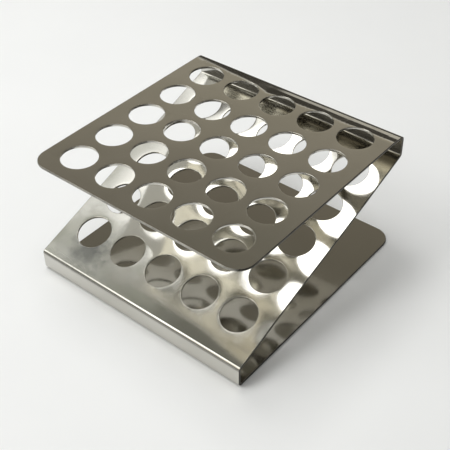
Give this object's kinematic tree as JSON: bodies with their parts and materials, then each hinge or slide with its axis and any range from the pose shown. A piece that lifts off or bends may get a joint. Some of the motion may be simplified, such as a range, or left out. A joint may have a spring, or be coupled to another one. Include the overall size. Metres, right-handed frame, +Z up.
{
  "type": "test tube rack",
  "caption": "Low test tube rack folded from one polished stainless sheet into a Z, with matching grids of round tube holes in a level top plate and a sloping plate under it.",
  "frame": {"origin": "centre of the bounding box's bottom face, on the bench under the rack", "axes": "+Z up; +X along the four bends, left to right as seen from the front; +Y from the front lip towards the free rear edge of the base"},
  "size_m": [0.1254, 0.1292, 0.0664],
  "materials": {
    "stainless_sheet": "polished stainless steel sheet, mirror-like but slightly soft, with faint smudges and deburred cut edges"
  },
  "bodies": {
    "root": {"folded_sheet_rack": "stainless_sheet"}
  },
  "joints": []
}
